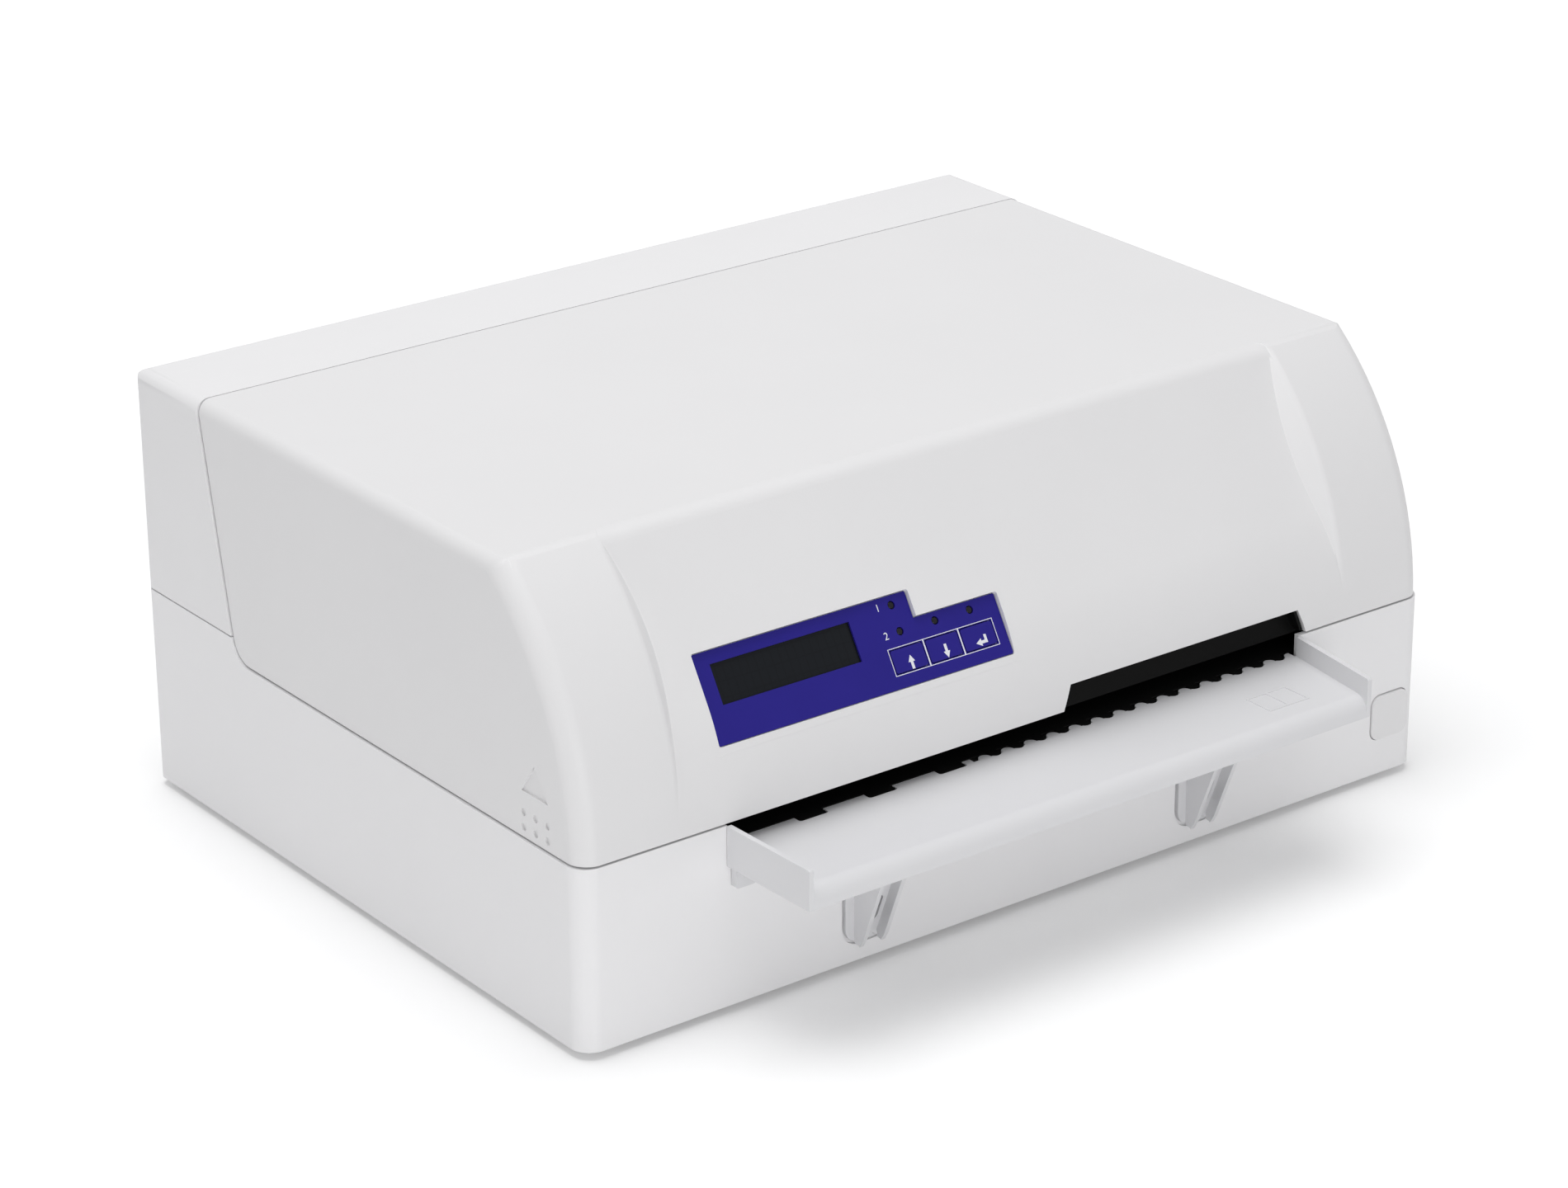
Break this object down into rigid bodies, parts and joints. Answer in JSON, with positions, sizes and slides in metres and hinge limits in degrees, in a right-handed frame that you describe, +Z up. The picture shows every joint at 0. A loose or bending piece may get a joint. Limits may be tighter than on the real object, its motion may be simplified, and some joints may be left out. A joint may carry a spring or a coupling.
{
  "type": "dot matrix printer",
  "caption": "Flatbed dot matrix printer with a swing-up hood, an operator panel with display and keys, a plug-on document table, and a coupled carriage and paper feed.",
  "frame": {"origin": "centre of the footprint, table included, at the level the feet stand on", "axes": "+X to the right as the user sees the front, +Y to the back, +Z up"},
  "size_m": [0.384, 0.325, 0.1665],
  "materials": {
    "case_plastic": "fine satin texture",
    "black_plastic": "matt moulded black",
    "blue_film": "satin printed film",
    "dark_glass": "smoked display window",
    "lamp_lens": "unlit smoked lens",
    "steel_sheet": "zinc plated sheet",
    "polished_steel": "ground and polished",
    "black_rubber": "matt rubber",
    "natural_gear": "natural acetal",
    "motor_paint": "black enamel",
    "head_aluminium": "anodised casting",
    "ink_fabric": "inked nylon",
    "circuit_board": "green solder mask",
    "port_shell": "tinned shell"
  },
  "bodies": {
    "case": {"base_case": "case_plastic", "rear_cover": "case_plastic", "lower_guide": "black_plastic", "upper_guide": "black_plastic", "rear_guide": "black_plastic", "ribbon_cassette": "black_plastic", "power_switch": "black_plastic", "power_inlet": "black_plastic", "hinge_bracket_left": "steel_sheet", "hinge_bracket_right": "steel_sheet", "chassis_pan": "steel_sheet", "side_frame_left": "steel_sheet", "side_frame_right": "steel_sheet", "guide_rail": "steel_sheet", "motor_bracket": "steel_sheet", "idler_bracket": "steel_sheet", "power_supply": "steel_sheet", "rear_panel": "steel_sheet", "carriage_shaft": "polished_steel", "case_screws": "polished_steel", "rubber_feet": "black_rubber", "platen_bar": "black_rubber", "carriage_belt": "black_rubber", "carriage_motor": "motor_paint", "feed_motor": "motor_paint", "ribbon_band": "ink_fabric", "main_board": "circuit_board", "data_ports": "port_shell"},
    "hood": {"top_hood": "case_plastic", "hinge_arm_left": "black_plastic", "hinge_arm_right": "black_plastic", "panel_overlay": "blue_film", "lcd_glass": "dark_glass", "lcd_module": "steel_sheet", "panel_board": "circuit_board", "panel_leds": "lamp_lens"},
    "key_up_pad": {"key_up": "blue_film"},
    "key_down_pad": {"key_down": "blue_film"},
    "key_enter_pad": {"key_enter": "blue_film"},
    "table": {"front_table": "case_plastic", "table_bracket_left": "case_plastic", "table_bracket_right": "case_plastic"},
    "button": {"power_button": "case_plastic"},
    "carriage_unit": {"carriage": "black_plastic", "print_head": "head_aluminium"},
    "drive_pulley_unit": {"drive_pulley": "polished_steel"},
    "idler_pulley_unit": {"idler_pulley": "natural_gear"},
    "front_feed": {"front_feed_shaft": "polished_steel", "front_feed_rollers": "black_rubber", "front_feed_gear": "natural_gear"},
    "rear_feed": {"rear_feed_shaft": "polished_steel", "rear_feed_rollers": "black_rubber", "rear_feed_gear": "natural_gear"},
    "idler": {"idler_gear": "natural_gear"},
    "pinion": {"motor_pinion": "polished_steel"},
    "front_pinch_unit": {"front_pinch": "black_rubber"},
    "rear_pinch_unit": {"rear_pinch": "black_rubber"},
    "knob": {"ribbon_knob": "case_plastic"}
  },
  "joints": [
    {"name": "hood_hinge", "type": "hinge", "parent": "case", "child": "hood", "pos_m": [0, 0.1375, 0.1595], "axis": [-1, 0, 0], "range_deg": [0, 70]},
    {"name": "power_button_push", "type": "slide", "parent": "case", "child": "button", "axis": [0, 1, 0], "range_m": [0, 0.003], "stiffness_N_per_m": 300},
    {"name": "key_up_press", "type": "slide", "parent": "hood", "child": "key_up_pad", "axis": [0, 0.8517, -0.524], "range_m": [0, 0.0005], "stiffness_N_per_m": 600},
    {"name": "key_down_press", "type": "slide", "parent": "hood", "child": "key_down_pad", "axis": [0, 0.8517, -0.524], "range_m": [0, 0.0005], "stiffness_N_per_m": 600},
    {"name": "key_enter_press", "type": "slide", "parent": "hood", "child": "key_enter_pad", "axis": [0, 0.8517, -0.524], "range_m": [0, 0.0005], "stiffness_N_per_m": 600},
    {"name": "table_pull_off", "type": "slide", "parent": "case", "child": "table", "axis": [0, -1, 0], "range_m": [0, 0.04]},
    {"name": "carriage_slide", "type": "slide", "parent": "case", "child": "carriage_unit", "axis": [1, 0, 0], "range_m": [-0.115, 0.115]},
    {"name": "drive_pulley_spin", "type": "hinge", "parent": "case", "child": "drive_pulley_unit", "pos_m": [-0.147, 0.0015, 0.085], "axis": [0, 0, 1], "continuous": true},
    {"name": "idler_pulley_spin", "type": "hinge", "parent": "case", "child": "idler_pulley_unit", "pos_m": [0.147, 0.0015, 0.085], "axis": [0, 0, 1], "continuous": true},
    {"name": "front_feed_spin", "type": "hinge", "parent": "case", "child": "front_feed", "pos_m": [0, -0.0835, 0.055], "axis": [1, 0, 0], "continuous": true},
    {"name": "rear_feed_spin", "type": "hinge", "parent": "case", "child": "rear_feed", "pos_m": [0, -0.0035, 0.055], "axis": [1, 0, 0], "continuous": true},
    {"name": "idler_gear_spin", "type": "hinge", "parent": "case", "child": "idler", "pos_m": [-0.172, -0.0435, 0.055], "axis": [1, 0, 0], "continuous": true},
    {"name": "motor_pinion_spin", "type": "hinge", "parent": "case", "child": "pinion", "pos_m": [-0.172, 0.01753, 0.03972], "axis": [1, 0, 0], "continuous": true},
    {"name": "front_pinch_spin", "type": "hinge", "parent": "case", "child": "front_pinch_unit", "pos_m": [0, -0.0835, 0.0693], "axis": [1, 0, 0], "continuous": true},
    {"name": "rear_pinch_spin", "type": "hinge", "parent": "case", "child": "rear_pinch_unit", "pos_m": [0, -0.0035, 0.0693], "axis": [1, 0, 0], "continuous": true},
    {"name": "ribbon_knob_turn", "type": "hinge", "parent": "case", "child": "knob", "pos_m": [-0.12, -0.0435, 0.113], "axis": [0, 0, 1], "continuous": true}
  ],
  "couplings": [
    {"joint": "drive_pulley_spin", "follows": "carriage_slide", "rad_per_m": 114.94},
    {"joint": "idler_pulley_spin", "follows": "carriage_slide", "rad_per_m": 114.94},
    {"joint": "rear_feed_spin", "follows": "front_feed_spin", "ratio": 1},
    {"joint": "idler_gear_spin", "follows": "front_feed_spin", "ratio": -1},
    {"joint": "motor_pinion_spin", "follows": "front_feed_spin", "ratio": -3.3333},
    {"joint": "front_pinch_spin", "follows": "front_feed_spin", "ratio": -1.8},
    {"joint": "rear_pinch_spin", "follows": "front_feed_spin", "ratio": -1.8}
  ]
}
